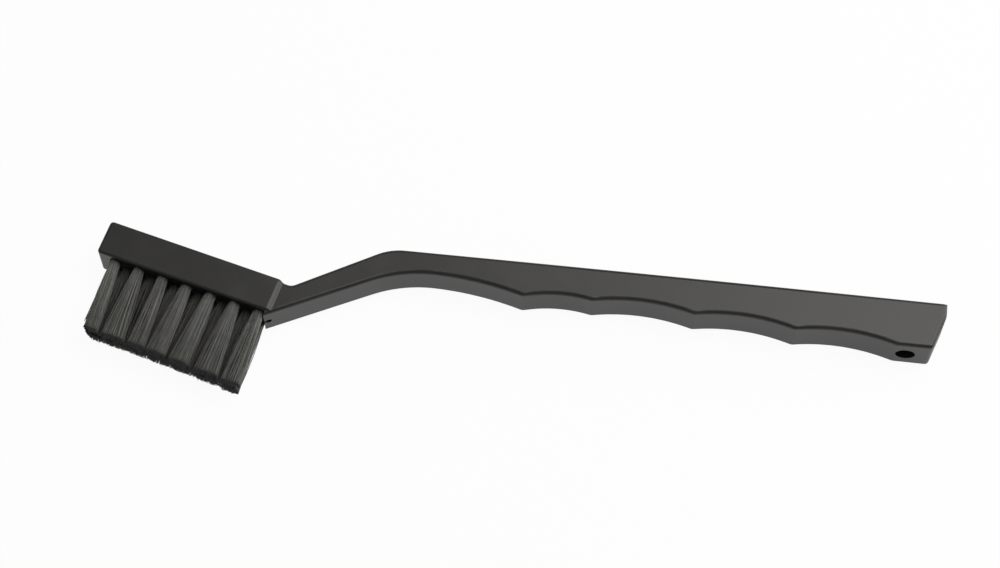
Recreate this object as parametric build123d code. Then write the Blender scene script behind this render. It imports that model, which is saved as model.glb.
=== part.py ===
from build123d import *
import math
import os

# A slim crevice brush lying on its side. X runs from the bristle head to the end of the handle, the
# bristles point towards -Y, and Z is up through the thickness. The origin is at the centre of the
# bottom of the bounding box. Lengths are in millimetres and angles in degrees.

# Handle, seen from the side
grip_length = 119.2
back_crown = 0.15
neck_length = 22.7
neck_crank = 28.8
neck_depth = 5.35
neck_arc_run = 6.7
waist_setback = 10.2
waist_depth = 4.95
end_depth = 10.6
end_face_depth = 3.0
end_undercut = 2.6

# Finger scallops of the underside: where each crest lies, from the end of the handle towards the
# head, as a share of the grip length, and how deep the handle is there as a share of its end depth
crest_run_shares = (0.086, 0.267, 0.447, 0.630, 0.754)
crest_depth_shares = (1.0, 0.885, 0.775, 0.700, 0.750)
scallop_share = 0.0625

# Roundings of the handle
bend_radius = 12.0
root_radius = 2.0
crest_radius = 2.5
heel_radius = 5.0
toe_radius = 0.9
grip_fillet = 0.8

# Handle, seen from the back, with the hang hole through it
neck_width = 8.4
end_width = 9.8
widening_radius = 400.0
hang_hole_run = 7.9
hang_hole_diameter = 4.2

# Head block, which steps down to the neck in a flare of two arcs, the first one convex. From the start
# of the flare on, the root of the neck stands as a foot a little proud of the bristle face.
head_tilt = 14.1
head_length = 38.9
head_height = 7.8
head_width = 9.2
nose_radius = 0.8
head_fillet = 0.6
flare_length = 1.3
flare_step = 0.4
flare_convex_share = 0.6
root_run = 1.75

# Gate mark, the small pit that moulding leaves at the edge of the foot
gate_diameter = 1.4
gate_depth = 0.9
gate_setback = 0.6

# Tuft holes: three rows set as a quincunx
row_spacing = 2.25
tuft_pitch = 5.54
first_tuft_run = 4.1
tufts_in_outer_row = 7
hole_diameter = 2.6
hole_depth = 5.0

# Tufts: each fills its hole and opens out towards its tips. At the nose they are trimmed shorter and
# lean more towards the handle than at the root of the neck, where the trim gains most of its length.
tuft_clearance = 0.04
nose_trim_length = 16.3
root_trim_length = 17.2
nose_lean = 5.2
root_lean = 1.2
fan_along_share = 1.6
fan_across_share = 1.1

# Strands of one tuft stand in rings round a middle one
strand_width = 0.3
ring_counts = (1, 6, 13)
ring_radius_shares = (0.0, 0.4, 0.8)

# Anchor: a flat clip that holds the folded tuft down in its hole and bites into the wall at both ends
anchor_thickness = 0.3
anchor_height = 1.6
anchor_bite = 0.2
anchor_roof = 1.2

# How far a cutting shape runs past what it cuts, how near two places are when they count as one, and
# the share of a face's normal that lies along Z when the face belongs to a broad side
overrun = 2.0
tolerance = 0.01
broad_side_share = 0.9


def direction(angle):
    """Unit vector in the XY plane, turned by an angle from +X."""
    return Vector(math.cos(math.radians(angle)), math.sin(math.radians(angle)))


# Places that several pieces share, measured from the corner between the back and the end
bend_corner = Vector(-grip_length, 0)
down_the_neck = direction(180 + neck_crank)
into_the_neck = direction(neck_crank - 90)
root_corner = bend_corner + down_the_neck * neck_length
head_along = direction(-head_tilt)
head_up = direction(90 - head_tilt)
flared_length = head_length + flare_length
inner_run = head_length - overrun
head_origin = root_corner - head_along * (flared_length + root_run) + head_up * flare_step
plug_radius = hole_diameter / 2 - tuft_clearance


def head_point(along, up):
    """Point of the side view, from its place along and above the back corner of the nose."""
    return head_origin + head_along * along + head_up * up


# Straight underside of the neck, from the bristle face up to where its arc begins
stub_top = head_point(flared_length, -flare_step)
stub_bottom = head_point(flared_length, -head_height)
neck_end = bend_corner + down_the_neck * neck_arc_run + into_the_neck * neck_depth
under_the_neck = (neck_end - stub_bottom).normalized()

# Frame of the bristle face: X along the head, Y across it, and Z out along the bristles
bristle_face = Location(Plane(origin=head_point(0, -head_height), x_dir=head_along, z_dir=-head_up))


def closed_face(points):
    """Flat face inside a closed run of straight edges."""
    return make_face(Polyline(*points, close=True))


def rounded(face, corners):
    """The face with each listed corner rounded by its own radius."""
    for corner, radius in corners:
        vertex = face.vertices().sort_by_distance(corner)[0]
        face = fillet(vertex, radius)
    return face


def round_rims(solid, cut_run, radius):
    """The solid with the rims of its two broad sides rounded, but not round its cut end."""
    broad = [face for face in solid.faces() if abs(face.normal_at().Z) > broad_side_share]
    edges = [edge for face in broad for edge in face.edges()]
    rims = [edge for edge in edges if sum(edge.is_same(other) for other in edges) == 1]
    runs = [(edge.center() - head_origin).dot(head_along) for edge in rims]
    kept = [edge for edge, run in zip(rims, runs) if abs(run - cut_run) > tolerance]
    return fillet(kept, radius)


def grip_outline():
    """Side view of the neck and grip, which starts inside the head."""
    inner_top = head_point(inner_run, -flare_step)
    root_reach = (inner_top - stub_top).dot(head_along) / under_the_neck.dot(head_along)
    inner_bottom = stub_bottom + under_the_neck * root_reach
    waist = bend_corner + Vector(waist_setback, -waist_depth)
    crests = [
        Vector(-run_share * grip_length, -depth_share * end_depth)
        for run_share, depth_share in zip(crest_run_shares, crest_depth_shares)
    ]
    toe = Vector(-end_undercut, -end_depth)
    heel = Vector(0, -end_face_depth)
    neck_arc = TangentArc(neck_end, waist, tangent=under_the_neck)
    edges = [
        ThreePointArc(Vector(0, 0), Vector(-grip_length / 2, back_crown), bend_corner),
        Polyline(bend_corner, root_corner, inner_top, inner_bottom, neck_end),
        neck_arc,
        TangentArc(waist, crests[-1], tangent=neck_arc % 1),
        Polyline(crests[0], toe, heel, Vector(0, 0)),
    ]
    for near, far in zip(crests, crests[1:]):
        edges.append(SagittaArc(far, near, scallop_share * (far - near).length))
    corners = [(crest, crest_radius) for crest in crests]
    corners += [(bend_corner, bend_radius), (root_corner, root_radius)]
    corners += [(heel, heel_radius), (toe, toe_radius)]
    return rounded(make_face(Curve() + edges), corners)


def grip_plan():
    """Back view of the neck and grip: parallel along the neck, then widening to the end."""
    half_neck = neck_width / 2
    half_end = end_width / 2
    half_past_end = half_end + (half_end - half_neck) / grip_length * overrun
    near_side = [(head_origin.X, half_neck), (-grip_length, half_neck), (overrun, half_past_end)]
    far_side = [(x, -half_width) for x, half_width in reversed(near_side)]
    bends = [Vector(*near_side[1]), Vector(*far_side[1])]
    face = rounded(closed_face(near_side + far_side), [(bend, widening_radius) for bend in bends])
    return Plane.XZ * face


def neck_and_grip():
    """Neck and grip with rounded long edges, reaching into the head and below the bristle face."""
    side = extrude(grip_outline(), end_width, both=True)
    plan = extrude(grip_plan(), grip_length, both=True)
    return round_rims(side & plan, inner_run, grip_fillet)


def flare(shoulder, foot, along):
    """Convex and concave arc that step from a shoulder down to a foot, level with the head at both."""
    turn = shoulder + (foot - shoulder) * flare_convex_share
    convex = TangentArc(shoulder, turn, tangent=along)
    return [convex, TangentArc(turn, foot, tangent=convex % 1)]


def head_outline():
    """Side view of the head block and its flare."""
    nose = head_point(0, 0)
    shoulder = head_point(head_length, 0)
    chin = head_point(0, -head_height)
    edges = [Polyline(shoulder, nose, chin, stub_bottom, stub_top), *flare(shoulder, stub_top, head_along)]
    return rounded(make_face(Curve() + edges), [(nose, nose_radius), (chin, nose_radius)])


def head_plan():
    """View of the head along its bristles: parallel, then flaring down to the width of the neck."""
    half_head = head_width / 2
    near_side = [Vector(along, half_head) for along in (head_length, -overrun)]
    far_side = [Vector(along, -half_head) for along in (-overrun, head_length)]
    necks = [Vector(flared_length, side * neck_width / 2) for side in (1, -1)]
    edges = [Polyline(*near_side, *far_side), Line(*necks)]
    for shoulder, neck in zip((near_side[0], far_side[-1]), necks):
        edges += flare(shoulder, neck, Vector(1, 0))
    return bristle_face * make_face(Curve() + edges)


def head_block():
    """Head block and flare with rounded long edges."""
    side = extrude(head_outline(), head_width, both=True)
    plan = extrude(head_plan(), head_height + overrun, both=True)
    return round_rims(side & plan, flared_length, head_fillet)


def tuft_places():
    """Name of each tuft, with its place along and across the bristle face."""
    places = []
    for row, side, missing in (("upper", 1, 0), ("middle", 0, 1), ("lower", -1, 0)):
        for index in range(tufts_in_outer_row - missing):
            along = first_tuft_run + (index + missing / 2) * tuft_pitch
            places.append((f"{row}_{index + 1}", along, side * row_spacing))
    return places


def anchor():
    """Flat clip that crosses the hole and ends in its wall."""
    blade = Box(
        anchor_thickness,
        hole_diameter + 2 * anchor_bite,
        anchor_height,
        align=(Align.CENTER, Align.CENTER, Align.MIN),
    )
    return Pos(0, 0, anchor_roof - hole_depth) * blade


def tuft(lean, trim_length):
    """One tuft: the folded strands that fill the hole as a plug, and the strands that stand out of it."""
    plug = Cylinder(plug_radius, hole_depth, align=(Align.CENTER, Align.CENTER, Align.MAX))
    shift = trim_length * math.tan(math.radians(lean))
    strands = []
    for count, radius_share in zip(ring_counts, ring_radius_shares):
        for index in range(count):
            root = direction(360 * index / count) * (radius_share * plug_radius)
            spread = Vector(root.X * (fan_along_share - 1), root.Y * (fan_across_share - 1))
            section = Pos(root) * Rectangle(strand_width, strand_width)
            strands.append(Solid.extrude(section.face(), spread + Vector(shift, 0, trim_length)))
    return (plug + strands) - anchor()


def handle(places):
    """One-piece moulded handle: head, neck and grip, with every hole in it."""
    upright = (Align.CENTER, Align.CENTER, Align.MIN)
    foot_trim = Box(head_length, head_width + overrun, head_height, align=(Align.MAX, Align.CENTER, Align.MIN))
    gate = Cylinder(gate_diameter / 2, gate_depth + overrun, align=upright)
    tuft_hole = Cylinder(hole_diameter / 2, hole_depth + overrun, align=upright)
    hang_hole = Cylinder(hang_hole_diameter / 2, 2 * end_depth + overrun, rotation=(90, 0, 0))
    cuts = [
        bristle_face * Pos(head_length, 0, 0) * foot_trim,
        bristle_face * Pos(head_length + gate_setback, 0, -gate_depth) * gate,
        Pos(-hang_hole_run, 0, 0) * hang_hole,
    ]
    for name, along, across in places:
        cuts.append(bristle_face * Pos(along, across, -hole_depth) * tuft_hole)
        cuts.append(bristle_face * Pos(along, across, 0) * anchor())
    return (head_block() + neck_and_grip()) - cuts


def build_pieces():
    """Every piece of the brush by name, still measured from the corner of the handle's end."""
    places = tuft_places()
    tuft_field = (tufts_in_outer_row - 1) * tuft_pitch
    pieces = {"handle": handle(places)}
    for name, along, across in places:
        share = (along - first_tuft_run) / tuft_field
        lean = nose_lean + (root_lean - nose_lean) * share
        trim_length = nose_trim_length + (root_trim_length - nose_trim_length) * share ** 2
        place = bristle_face * Pos(along, across, 0)
        pieces[f"tuft_{name}"] = place * tuft(lean, trim_length)
        pieces[f"anchor_{name}"] = place * anchor()
    return pieces


# Write every piece, moved so that the origin is at the centre of the bottom of the whole brush
pieces = build_pieces()
box = Compound(list(pieces.values())).bounding_box()
bottom_centre = Vector(box.center().X, box.center().Y, box.min.Z)
os.makedirs("parts", exist_ok=True)
for name, piece in pieces.items():
    export_step(Pos(-bottom_centre) * piece, f"parts/{name}.step")
    print(name, len(piece.solids()), "solid", round(piece.volume, 3), "mm3")
print("size", box.size, "hang hole at", Vector(-hang_hole_run, 0) - bottom_centre)
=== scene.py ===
"""Crevice brush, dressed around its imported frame.

The frame holds the real sizes. This script adds what the eye sees: bundles of fine nylon filaments in place of
the plain tufts, moulded plastic, anchor steel, a pale floor, soft lamps and a camera at the photo's angle.
Every piece is in metres, in the frame's own axes.
"""

import logging
import math
from dataclasses import dataclass, field
from enum import Enum
from typing import Any

import bpy
import numpy as np
from mathutils import Matrix, Vector


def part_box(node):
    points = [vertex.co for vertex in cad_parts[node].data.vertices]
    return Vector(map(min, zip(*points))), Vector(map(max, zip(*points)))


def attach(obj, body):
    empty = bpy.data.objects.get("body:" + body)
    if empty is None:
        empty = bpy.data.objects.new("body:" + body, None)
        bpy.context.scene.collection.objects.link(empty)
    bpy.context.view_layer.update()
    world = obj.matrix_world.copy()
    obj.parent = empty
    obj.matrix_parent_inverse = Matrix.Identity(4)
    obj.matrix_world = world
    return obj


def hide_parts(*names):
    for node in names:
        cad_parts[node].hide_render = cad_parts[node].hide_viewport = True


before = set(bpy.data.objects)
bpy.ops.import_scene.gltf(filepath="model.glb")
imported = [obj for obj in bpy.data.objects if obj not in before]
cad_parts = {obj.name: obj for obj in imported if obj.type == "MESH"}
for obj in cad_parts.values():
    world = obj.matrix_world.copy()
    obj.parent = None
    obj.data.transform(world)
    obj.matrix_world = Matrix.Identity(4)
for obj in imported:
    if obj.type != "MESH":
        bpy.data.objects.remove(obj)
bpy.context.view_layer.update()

log = logging.getLogger("crevice_brush")
MM = 0.001
GOLDEN_ANGLE = math.pi * (3 - math.sqrt(5))
WHITE = (1.0, 1.0, 1.0, 1.0)
NOISE_MEAN = 0.5


@dataclass(frozen=True)
class Step:
    """A smooth step, from one result below a range of values to another above it."""

    low: float
    high: float
    start: float = 0.0
    end: float = 1.0


class Value:
    """One socket's value in a node tree, with arithmetic that adds Math nodes."""

    def __init__(self, shader: "Shader", socket: bpy.types.NodeSocket) -> None:
        """Wraps a socket.

        Args:
            shader: the shader that the socket belongs to.
            socket: an output socket.
        """
        self.shader = shader
        self.socket = socket

    def math(self, operation: str, *others: Any) -> "Value":
        """Adds one Math node.

        Args:
            operation: the node's operation.
            others: further operands, values or numbers.

        Returns:
            The node's result.
        """
        operands = dict(enumerate((self, *others)))
        return self.shader.value("ShaderNodeMath", 0, {"operation": operation}, operands)

    def __add__(self, other: Any) -> "Value":
        """Sum."""
        return self.math("ADD", other)

    def __sub__(self, other: Any) -> "Value":
        """Difference."""
        return self.math("SUBTRACT", other)

    def __mul__(self, other: Any) -> "Value":
        """Product."""
        return self.math("MULTIPLY", other)

    def __rsub__(self, other: float) -> "Value":
        """Difference from a number: the value times minus one, plus the number."""
        return self.math("MULTIPLY_ADD", -1.0, other)

    __radd__ = __add__
    __rmul__ = __mul__

    def step(self, step: Step) -> "Value":
        """The value carried through a smooth step.

        Args:
            step: where the step lies and what it leads from and to.

        Returns:
            The stepped value.
        """
        settings = {"interpolation_type": "SMOOTHSTEP"}
        inputs = {
            "Value": self,
            "From Min": step.low,
            "From Max": step.high,
            "To Min": step.start,
            "To Max": step.end,
        }
        return self.shader.value("ShaderNodeMapRange", "Result", settings, inputs)


class Shader:
    """The node tree of a material or a world under construction."""

    def __init__(self, holder: bpy.types.Material | bpy.types.World) -> None:
        """Empties the node tree.

        Args:
            holder: the material or world that the tree belongs to.
        """
        self.holder = holder
        self.holder.use_nodes = True
        self.tree = self.holder.node_tree
        self.tree.nodes.clear()

    @classmethod
    def material(cls, name: str) -> "Shader":
        """The empty tree of a new material."""
        return cls(bpy.data.materials.new(name))

    @classmethod
    def world(cls, name: str) -> "Shader":
        """The empty tree of a new world."""
        return cls(bpy.data.worlds.new(name))

    def node(
        self,
        kind: str,
        settings: dict[str, Any] | None = None,
        inputs: dict[Any, Any] | None = None,
    ) -> bpy.types.Node:
        """Adds a node.

        Args:
            kind: the node's type.
            settings: attributes of the node, which are set first.
            inputs: values or links of its sockets, by name or number.

        Returns:
            The node.
        """
        made = self.tree.nodes.new(kind)
        for key, value in (settings or {}).items():
            setattr(made, key, value)
        for key, value in (inputs or {}).items():
            if isinstance(value, Value):
                value = value.socket
            if isinstance(value, bpy.types.NodeSocket):
                self.tree.links.new(value, made.inputs[key])
            else:
                made.inputs[key].default_value = value
        return made

    def value(
        self,
        kind: str,
        output: int | str,
        settings: dict[str, Any] | None = None,
        inputs: dict[Any, Any] | None = None,
    ) -> Value:
        """Adds a node and wraps one of its outputs.

        Args:
            kind: the node's type.
            output: the output's name or number.
            settings: attributes of the node.
            inputs: values or links of its sockets.

        Returns:
            The output.
        """
        return Value(self, self.node(kind, settings, inputs).outputs[output])

    def object_place(self) -> Value:
        """Place on the piece, in metres."""
        return self.value("ShaderNodeTexCoord", "Object")

    def attribute(self, name: str) -> Value:
        """A number that the mesh carries under a name."""
        return self.value("ShaderNodeAttribute", "Fac", {"attribute_name": name})

    def noise(self, place: Value, size: float, layers: float = 2.0, roughness: float = 0.5) -> Value:
        """Fractal noise.

        Args:
            place: where it is read.
            size: the size of one blotch, in metres.
            layers: how many finer layers it has.
            roughness: how strong the finer layers are.

        Returns:
            A value that varies about one half.
        """
        inputs = {"Vector": place, "Scale": 1 / size, "Detail": layers, "Roughness": roughness}
        return self.value("ShaderNodeTexNoise", "Fac", None, inputs)

    def mix_colours(self, factor: Value, first: Any, second: Any) -> Value:
        """Mixes two colours.

        Args:
            factor: 0 for the first colour and 1 for the second.
            first: a colour or a value.
            second: a colour or a value.

        Returns:
            The mixed colour.
        """
        colours = [(*colour, 1.0) if isinstance(colour, tuple) else colour for colour in (first, second)]
        inputs = {0: factor, 6: colours[0], 7: colours[1]}
        return self.value("ShaderNodeMix", 2, {"data_type": "RGBA"}, inputs)

    def mix_shaders(self, factor: Value, first: bpy.types.Node, second: bpy.types.Node) -> bpy.types.Node:
        """Mixes two shaders.

        Args:
            factor: 0 for the first shader and 1 for the second.
            first: a shader's node.
            second: a shader's node.

        Returns:
            The mixing node.
        """
        inputs = {0: factor, 1: first.outputs[0], 2: second.outputs[0]}
        return self.node("ShaderNodeMixShader", None, inputs)

    def bump(self, height: Value, depth: float, strength: float) -> Value:
        """A bumped normal.

        Args:
            height: the height, about 0 to 1.
            depth: how deep a height of 1 is, in metres.
            strength: the share of the effect that is kept.

        Returns:
            The normal.
        """
        inputs = {"Height": height, "Distance": depth, "Strength": strength}
        return self.value("ShaderNodeBump", "Normal", None, inputs)

    def principled(self, inputs: dict[str, Any]) -> bpy.types.Material:
        """Ends a material with one Principled shader.

        Args:
            inputs: values or links of its sockets.

        Returns:
            The material.
        """
        return self.finish(self.node("ShaderNodeBsdfPrincipled", None, inputs))

    def finish(self, surface: bpy.types.Node) -> bpy.types.Material | bpy.types.World:
        """Connects the last shader and returns the material or world."""
        kind = "World" if isinstance(self.holder, bpy.types.World) else "Material"
        self.node(f"ShaderNodeOutput{kind}", None, {"Surface": surface.outputs[0]})
        return self.holder


@dataclass(frozen=True)
class MouldedPlastic:
    """Black plastic from a satin mould: faint flow marks, a fine grain and slightly polished patches."""

    colour: tuple[float, float, float] = (0.0175, 0.0170, 0.0165)
    rubbed_colour: tuple[float, float, float] = (0.0235, 0.0230, 0.0222)
    ior: float = 1.5
    roughness: float = 0.40
    blotch_roughness: float = 0.08
    blotch_size: float = 0.011
    blotch_layers: float = 3.0
    blotch_layer_share: float = 0.55
    rubbed_step: Step = Step(0.42, 0.68)
    grain_roughness: float = 0.03
    grain_size: float = 0.00035
    grain_layers: float = 1.0
    grain_depth: float = 0.000005
    grain_strength: float = 0.25

    def build(self) -> bpy.types.Material:
        """The material. Its roughness swings about its mean with the blotches and the grain."""
        shader = Shader.material("moulded_plastic")
        place = shader.object_place()
        blotch = shader.noise(place, self.blotch_size, self.blotch_layers, self.blotch_layer_share)
        grain = shader.noise(place, self.grain_size, self.grain_layers)
        rubbed = blotch.step(self.rubbed_step)
        blotch_swing = self.blotch_roughness * (blotch - NOISE_MEAN)
        grain_swing = self.grain_roughness * (grain - NOISE_MEAN)
        return shader.principled(
            {
                "Base Color": shader.mix_colours(rubbed, self.colour, self.rubbed_colour),
                "Roughness": self.roughness + (blotch_swing + grain_swing),
                "IOR": self.ior,
                "Normal": shader.bump(grain, self.grain_depth, self.grain_strength),
            }
        )


@dataclass(frozen=True)
class BristleNylon:
    """Dark grey nylon filament: each strand has its own tone, has painted shade at its root and is darker at
    its cut end.

    The tufts inside the field get painted shade along their whole length, for the shade that falls between the
    rows. Each step runs over the share of a filament's length, from its root to its cut end.
    """

    dark: tuple[float, float, float] = (0.013, 0.013, 0.012)
    pale: tuple[float, float, float] = (0.188, 0.191, 0.172)
    cut: tuple[float, float, float] = (0.060, 0.060, 0.060)
    ior: float = 1.53
    tone_share: float = 0.48
    streak_share: float = 0.45
    base_share: float = 0.03
    streak_size: float = 0.0016
    # painted shade at the root, where the filaments crowd into the head
    root_shade_step: Step = Step(-0.05, 0.12, 0.40, 1.0)
    body_step: Step = Step(0.15, 0.80, 1.0, 0.80)
    # painted shade over the middle row, which lies in the shade of the outer rows
    inner_row_shade_step: Step = Step(0.08, 0.34, 0.07, 0.14)
    tip_step: Step = Step(0.93, 1.0, 1.0, 0.55)
    cut_step: Step = Step(0.985, 1.0)
    roughness: float = 0.36
    tone_roughness: float = 0.12
    cut_roughness: float = 0.75

    def build(self) -> bpy.types.Material:
        """The material."""
        shader = Shader.material("bristle_nylon")
        tone = shader.attribute("tone")
        reach = shader.attribute("reach")
        inner = shader.attribute("inner")
        streak = shader.noise(shader.object_place(), self.streak_size)
        # The root step paints shade where the filaments crowd into the head; the body step darkens them
        # towards the tips.
        outer_share = reach.step(self.root_shade_step) * reach.step(self.body_step)
        # The middle row takes the inner row's painted shade in place of the outer rows' steps.
        kept = outer_share + (reach.step(self.inner_row_shade_step) - outer_share) * inner
        shade = tone * self.tone_share + streak * self.streak_share + self.base_share
        shade = shade * kept * reach.step(self.tip_step)
        colour = shader.mix_colours(shade.math("MAXIMUM", 0.0), self.dark, self.pale)
        end = reach.step(self.cut_step)
        rougher = self.tone_roughness * tone + (self.cut_roughness - self.roughness) * end
        return shader.principled(
            {
                "Base Color": shader.mix_colours(end, colour, self.cut),
                "Roughness": self.roughness + rougher,
                "IOR": self.ior,
            }
        )


@dataclass(frozen=True)
class AnchorSteel:
    """Flat steel strip with the fine lines of its rolling."""

    colour: tuple[float, float, float] = (0.55, 0.54, 0.52)
    roughness: float = 0.28
    line_roughness: float = 0.2
    line_size: float = 0.00008
    line_layers: float = 1.0

    def build(self) -> bpy.types.Material:
        """The material."""
        shader = Shader.material("anchor_steel")
        lines = shader.noise(shader.object_place(), self.line_size, self.line_layers)
        return shader.principled(
            {
                "Base Color": (*self.colour, 1.0),
                "Metallic": 1.0,
                "Roughness": self.roughness + self.line_roughness * lines,
            }
        )


@dataclass(frozen=True)
class PaleFloor:
    """White floor that keeps a soft shadow, and that shows white to the camera and in reflections."""

    colour: tuple[float, float, float] = (0.90, 0.90, 0.90)
    camera_share: float = 0.95
    mirror_share: float = 0.75

    def build(self) -> bpy.types.Material:
        """The material: each share tells how much of a ray's floor is plain white."""
        shader = Shader.material("pale_floor")
        diffuse = shader.node("ShaderNodeBsdfDiffuse", None, {"Color": (*self.colour, 1.0)})
        glow = shader.node("ShaderNodeEmission", None, {"Color": WHITE, "Strength": 1.0})
        camera = shader.value("ShaderNodeLightPath", "Is Camera Ray")
        glossy = shader.value("ShaderNodeLightPath", "Is Glossy Ray")
        seen = camera * self.camera_share + glossy * self.mirror_share
        return shader.finish(shader.mix_shaders(seen, diffuse, glow))


@dataclass
class MeshData:
    """Vertices, faces and point attributes of one piece before it becomes an object."""

    points: np.ndarray
    faces: list[tuple[int, ...]]
    smooth: np.ndarray
    attributes: dict[str, np.ndarray] = field(default_factory=dict)

    def to_object(self, name: str, material: bpy.types.Material) -> bpy.types.Object:
        """Makes the object, at the origin and unturned.

        Args:
            name: the piece's name.
            material: its finish.

        Returns:
            The object, linked to the scene.
        """
        mesh = bpy.data.meshes.new(name)
        mesh.from_pydata(self.points.tolist(), [], self.faces)
        mesh.polygons.foreach_set("use_smooth", self.smooth)
        for key, values in self.attributes.items():
            layer = mesh.attributes.new(key, "FLOAT", "POINT")
            layer.data.foreach_set("value", values.astype(np.float32))
        mesh.materials.append(material)
        mesh.update()
        made = bpy.data.objects.new(name, mesh)
        bpy.context.scene.collection.objects.link(made)
        return made


@dataclass(frozen=True)
class BristleFace:
    """Directions of the bristle face: along the head, across it and out along the bristles."""

    head_tilt: float = 14.1

    def axes(self) -> np.ndarray:
        """Rows along, across and out, as unit vectors of the frame."""
        tilt = math.radians(self.head_tilt)
        along = (math.cos(tilt), -math.sin(tilt), 0.0)
        across = (0.0, 0.0, 1.0)
        out = (-math.sin(tilt), -math.cos(tilt), 0.0)
        return np.array((along, across, out))

    def to_frame(self, origin: Vector, local: np.ndarray) -> np.ndarray:
        """Points of the frame from places along, across and out of the face.

        Args:
            origin: the local origin in the frame.
            local: places, three numbers each, in the last axis.

        Returns:
            The points: origin plus each place times the face's axes.
        """
        return np.array(origin) + local @ self.axes()


class Row(Enum):
    """The three rows of tufts, by the side of the head that they stand on."""

    UPPER = "upper"
    MIDDLE = "middle"
    LOWER = "lower"


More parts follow.
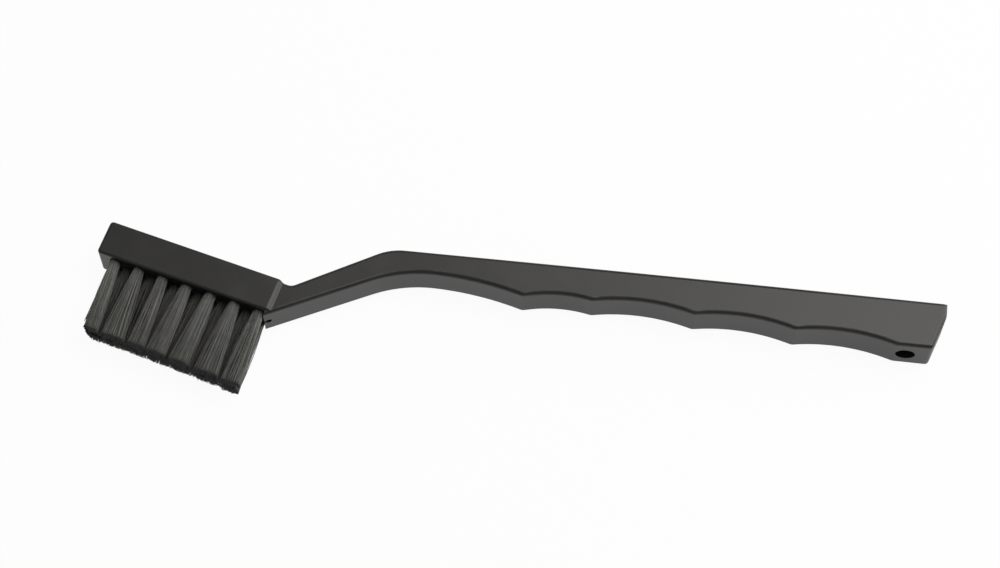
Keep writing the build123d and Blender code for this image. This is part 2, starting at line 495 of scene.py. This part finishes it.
@dataclass
class Tuft:
    """One bundle of filaments, folded into its hole and trimmed flat."""

    row: Row
    number: int
    lean: float
    tip_width: float
    trim_length: float
    filaments: int = 190
    filament_radius: float = 0.085 * MM
    sides: int = 6
    root_radius: float = 1.17 * MM
    root_jitter: float = 0.035
    buried: float = 1.2 * MM
    anchor_to_face: float = 3.0 * MM
    tip_depth: float = 2.8 * MM
    clumps: int = 7
    clump_spread: float = 0.8
    clump_pull: float = 0.16
    least_pull_share: float = 0.3
    stray: float = 0.12 * MM
    bow: float = 0.12 * MM
    trim_change: float = 0.07 * MM
    most_trim_changes: float = 3.0
    corner_power: float = 6.0
    blend_power: float = 0.95
    # painted highlight: how much paler the tuft's side towards the handle is
    lit_side_tone: float = 0.32
    clump_tone: float = 0.25
    corner_wear: float = 0.0
    ring_shares: tuple[float, ...] = (0.0, 0.25, 0.5, 0.75, 0.985, 1.0)

    @property
    def label(self) -> str:
        """The row and number, as the nodes are named."""
        return f"{self.row.value}_{self.number}"

    def centre_on_face(self, face: BristleFace) -> Vector:
        """Centre of the tuft's hole on the bristle face, from the anchor that holds it."""
        low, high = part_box(f"anchor_{self.label}")
        out = Vector(face.axes()[2])
        return (low + high) / 2 + out * self.anchor_to_face

    def centrelines(self, rng: np.random.Generator) -> tuple[np.ndarray, np.ndarray, np.ndarray]:
        """Paths and tones of the filaments.

        Roots lie on a sunflower spiral, at the square root of their rank. Each tip is its root's place moved
        out to a superellipse, scaled to the tip's width and depth, drawn towards the nearest clump and
        jittered. From root to tip the path blends with the share of the length to the blend power, plus a
        bow that follows the sine of half a turn. Filaments are cut a little short at random, and shorter by
        the corner wear, times the square of their place towards the nose, at a worn corner.

        Args:
            rng: the tuft's own generator.

        Returns:
            Places of every ring of every filament along, across and out, the share of the length at each
            ring, and each filament's tone, which its clump shares in part and which is paler towards the
            handle: a painted highlight on the side of the tuft that faces the lamps.
        """
        tip_size = np.array((self.tip_width, self.tip_depth))
        rank = (np.arange(self.filaments) + 0.5) / self.filaments
        turn = np.arange(self.filaments) * GOLDEN_ANGLE + rng.uniform(0, math.tau)
        disc = np.sqrt(rank)[:, None] * np.stack((np.cos(turn), np.sin(turn)), axis=-1)
        disc += rng.normal(0, self.root_jitter, disc.shape)
        roots = disc * self.root_radius
        corners = np.abs(np.cos(turn)) ** self.corner_power + np.abs(np.sin(turn)) ** self.corner_power
        fuller = disc * corners[:, None] ** (-1 / self.corner_power)
        tips = fuller * tip_size / 2
        centres = rng.uniform(-self.clump_spread, self.clump_spread, (self.clumps, 2)) * tip_size / 2
        nearest = np.argmin(np.linalg.norm(tips[:, None] - centres[None], axis=-1), axis=1)
        pull = self.clump_pull * rng.uniform(self.least_pull_share, 1.0, (self.filaments, 1))
        tips += (centres[nearest] - tips) * pull
        tips += rng.normal(0, self.stray, tips.shape)
        tips[:, 0] += self.trim_length * math.tan(math.radians(self.lean))
        short = np.abs(rng.normal(0, self.trim_change, self.filaments))
        short = short.clip(0, self.most_trim_changes * self.trim_change)
        short += self.corner_wear * (-fuller[:, 0]).clip(0, 1) ** 2
        lengths = self.trim_length - short
        shares = np.array(self.ring_shares)
        blend = shares[None, :, None] ** self.blend_power
        bows = rng.normal(0, self.bow, (self.filaments, 1, 2)) * np.sin(math.pi * shares)[None, :, None]
        flat = roots[:, None] + (tips - roots)[:, None] * blend + bows
        out = shares[None] * lengths[:, None]
        above = np.concatenate((flat, out[..., None]), axis=-1)
        below = np.concatenate((roots, np.full((self.filaments, 1), -self.buried)), axis=-1)
        path = np.concatenate((below[:, None], above), axis=1)
        reach = np.concatenate((np.zeros(1), shares))
        clump_tones = rng.uniform(-self.clump_tone, self.clump_tone, self.clumps)
        # The random and clump tones are the nylon's own; the side term paints light on the side towards the
        # handle.
        tone = rng.uniform(0, 1, self.filaments) + clump_tones[nearest] + self.lit_side_tone * disc[:, 0]
        return path, reach, tone.clip(0, 1)

    def mesh(self, face: BristleFace) -> MeshData:
        """All the tuft's filaments as closed tubes.

        A ring is the path's point plus the radius times the cosine and sine of the turn, along and across.

        Args:
            face: the directions of the bristle face.

        Returns:
            The mesh in the frame.
        """
        rng = np.random.default_rng([list(Row).index(self.row), self.number])
        path, reach, tones = self.centrelines(rng)
        count, rings = path.shape[:2]
        turn = np.arange(self.sides) * math.tau / self.sides
        circle = np.stack((np.cos(turn), np.sin(turn), np.zeros(self.sides)), axis=-1) * self.filament_radius
        local = path[:, :, None] + circle[None, None]
        points = face.to_frame(self.centre_on_face(face), local.reshape(-1, 3))
        index = np.arange(count * rings * self.sides).reshape(count, rings, self.sides)
        after = np.roll(index, -1, axis=2)
        walls = np.stack((index[:, :-1], after[:, :-1], after[:, 1:], index[:, 1:]), axis=-1).reshape(-1, 4)
        root_caps = index[:, 0, ::-1]
        tip_caps = index[:, -1]
        faces = [*map(tuple, walls.tolist()), *map(tuple, root_caps.tolist()), *map(tuple, tip_caps.tolist())]
        smooth = np.concatenate((np.ones(len(walls), bool), np.zeros(2 * count, bool)))
        tone = np.repeat(tones, rings * self.sides)
        share = np.tile(np.repeat(reach, self.sides), count)
        inner = np.full(len(tone), float(self.row is Row.MIDDLE))
        return MeshData(points, faces, smooth, {"tone": tone, "reach": share, "inner": inner})

    def build(self, face: BristleFace, nylon: bpy.types.Material) -> bpy.types.Object:
        """Makes the tuft, in place of its plain node.

        Args:
            face: the directions of the bristle face.
            nylon: the filaments' finish.

        Returns:
            The piece.
        """
        piece = self.mesh(face).to_object(f"filaments_{self.label}", nylon)
        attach(piece, "root")
        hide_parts(f"tuft_{self.label}")
        return piece


@dataclass
class BristleField:
    """The twenty tufts.

    The leans and tip widths of the upper row follow the photo, and so does the last tuft of the lower row. In
    the other two rows the lean falls evenly from the nose to the neck, and each tuft has its own small change.
    The first tuft of each row is worn at its outer corner. Lengths are in millimetres and angles in degrees.
    """

    upper_leans: tuple[float, ...] = (4.2, 3.2, 2.4, -1.0, -1.6, 1.0, 1.9)
    upper_tip_widths: tuple[float, ...] = (3.3, 5.2, 4.0, 4.6, 4.5, 5.7, 4.6)
    nose_lean: float = 5.2
    root_lean: float = 1.0
    lean_change: float = 0.5
    width_mean: float = 6.05
    width_change: float = 0.12
    last_width: float = 4.3
    last_lean: float = -0.2
    nose_trim_length: float = 16.42
    root_trim_length: float = 17.30
    nose_wear: float = 1.6
    seed: int = 20

    def tufts(self) -> list[Tuft]:
        """Every tuft with its own lean and spread."""
        rng = np.random.default_rng(self.seed)
        outer = np.linspace(0, 1, len(self.upper_leans))
        inner = (outer[1:] + outer[:-1]) / 2
        made = [
            Tuft(Row.UPPER, number + 1, lean, width * MM, self.trim_length(share))
            for number, (lean, width, share) in enumerate(zip(self.upper_leans, self.upper_tip_widths, outer))
        ]
        for row, shares in ((Row.MIDDLE, inner), (Row.LOWER, outer)):
            for number, share in enumerate(shares):
                lean = self.nose_lean + (self.root_lean - self.nose_lean) * share
                lean += rng.normal(0, self.lean_change)
                width = rng.normal(self.width_mean, self.width_change)
                if share == 1:
                    lean, width = self.last_lean, self.last_width
                made.append(Tuft(row, number + 1, lean, width * MM, self.trim_length(share)))
        for tuft in made:
            if tuft.number == 1:
                tuft.corner_wear = self.nose_wear * MM
        return made

    def trim_length(self, share: float) -> float:
        """Length of the bristles outside the head.

        Args:
            share: how far along the rows the tuft stands, from the nose.

        Returns:
            The length, which grows from the nose to the neck with the square of the share.
        """
        return (self.nose_trim_length + (self.root_trim_length - self.nose_trim_length) * share**2) * MM

    def build(self, nylon: bpy.types.Material) -> list[bpy.types.Object]:
        """Makes every tuft.

        Args:
            nylon: the filaments' finish.

        Returns:
            The pieces.
        """
        face = BristleFace()
        return [tuft.build(face, nylon) for tuft in self.tufts()]


@dataclass(frozen=True)
class KeptNodes:
    """Frame nodes whose shape is kept and which only get a finish."""

    prefix: str
    material: bpy.types.Material

    def dress(self) -> int:
        """Gives the finish to every node whose name begins with the prefix, and returns their number."""
        found = [node for name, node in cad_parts.items() if name.startswith(self.prefix)]
        for node in found:
            for held in node.material_slots:
                held.material = self.material
        return len(found)


@dataclass(frozen=True)
class SoftLamp:
    """One rectangular lamp: where it hangs, what it faces, its width and height, and its power in watts."""

    name: str
    place: tuple[float, float, float]
    target: tuple[float, float, float]
    size: tuple[float, float]
    power: float
    colour: tuple[float, float, float] = (1.0, 0.985, 0.95)

    def build(self) -> None:
        """Adds the lamp to the scene."""
        data = bpy.data.lights.new(self.name, "AREA")
        data.shape = "RECTANGLE"
        data.size, data.size_y = self.size
        data.energy = self.power
        data.color = self.colour
        made = bpy.data.objects.new(self.name, data)
        made.location = self.place
        aim = Vector(self.target) - Vector(self.place)
        made.rotation_euler = aim.to_track_quat("-Z", "Y").to_euler()
        bpy.context.scene.collection.objects.link(made)


@dataclass(frozen=True)
class PhotoCamera:
    """The camera at the photo's angle: tilted from straight down and turned about the vertical.

    It aims at a place that is set off from the handle's end, back and underside.
    """

    offset: tuple[float, float, float] = (-95.167 * MM, -4.064 * MM, 4.90 * MM)
    distance: float = 602.05 * MM
    tilt: float = 23.8
    turn: float = 6.36
    focal_length: float = 100.98
    sensor_width: float = 36.0
    clip_start: float = 0.01
    clip_end: float = 10.0

    def build(self) -> None:
        """Adds the camera and makes it the scene's own."""
        data = bpy.data.cameras.new("photo_camera")
        data.lens = self.focal_length
        data.sensor_width = self.sensor_width
        data.clip_start = self.clip_start
        data.clip_end = self.clip_end
        made = bpy.data.objects.new("photo_camera", data)
        turned = Matrix.Rotation(math.radians(self.turn), 4, "Z")
        tilted = Matrix.Rotation(math.radians(self.tilt), 4, "X")
        backed = Matrix.Translation((0, 0, self.distance))
        low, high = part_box("handle")
        target = Vector((high.x, high.y, low.z)) + Vector(self.offset)
        made.matrix_world = Matrix.Translation(target) @ turned @ tilted @ backed
        bpy.context.scene.collection.objects.link(made)
        bpy.context.scene.camera = made


@dataclass
class Studio:
    """Floor, lamps, world and camera."""

    floor_size: float = 3.0
    world_strength: float = 0.19
    overhead: SoftLamp = SoftLamp("overhead", (0.47, 0.30, 0.85), (0.47, 0.30, 0.0), (0.94, 0.72), 8.2)
    side: SoftLamp = SoftLamp("side", (0.90, 0.40, 0.28), (0.0, 0.0, 0.0), (0.60, 0.30), 4.0)

    def floor(self) -> None:
        """Lays a plain pale floor under the brush."""
        half = self.floor_size / 2
        corners = np.array(((-half, -half, 0), (half, -half, 0), (half, half, 0), (-half, half, 0)), float)
        data = MeshData(corners, [(0, 1, 2, 3)], np.zeros(1, bool))
        data.to_object("floor", PaleFloor().build())

    def world(self) -> None:
        """Adds a dim even surround that shows white to the camera."""
        shader = Shader.world("studio")
        dim = shader.node("ShaderNodeBackground", None, {"Color": WHITE, "Strength": self.world_strength})
        bright = shader.node("ShaderNodeBackground", None, {"Color": WHITE, "Strength": 1.0})
        camera = shader.value("ShaderNodeLightPath", "Is Camera Ray")
        bpy.context.scene.world = shader.finish(shader.mix_shaders(camera, dim, bright))

    def build(self) -> None:
        """Sets the whole stage: a broad lamp hangs above and to the right, a small one lower at the right."""
        self.floor()
        self.overhead.build()
        self.side.build()
        self.world()
        PhotoCamera().build()
        bpy.context.scene.view_settings.view_transform = "Standard"


def main() -> None:
    """Builds the pieces in order and reports each."""
    logging.basicConfig(level=logging.INFO, format="%(message)s")
    log.info("handle nodes dressed: %d", KeptNodes("handle", MouldedPlastic().build()).dress())
    log.info("anchors dressed: %d", KeptNodes("anchor_", AnchorSteel().build()).dress())
    for piece in BristleField().build(BristleNylon().build()):
        log.info("%s: %d faces", piece.name, len(piece.data.polygons))
    Studio().build()


if __name__ == "__main__":
    main()
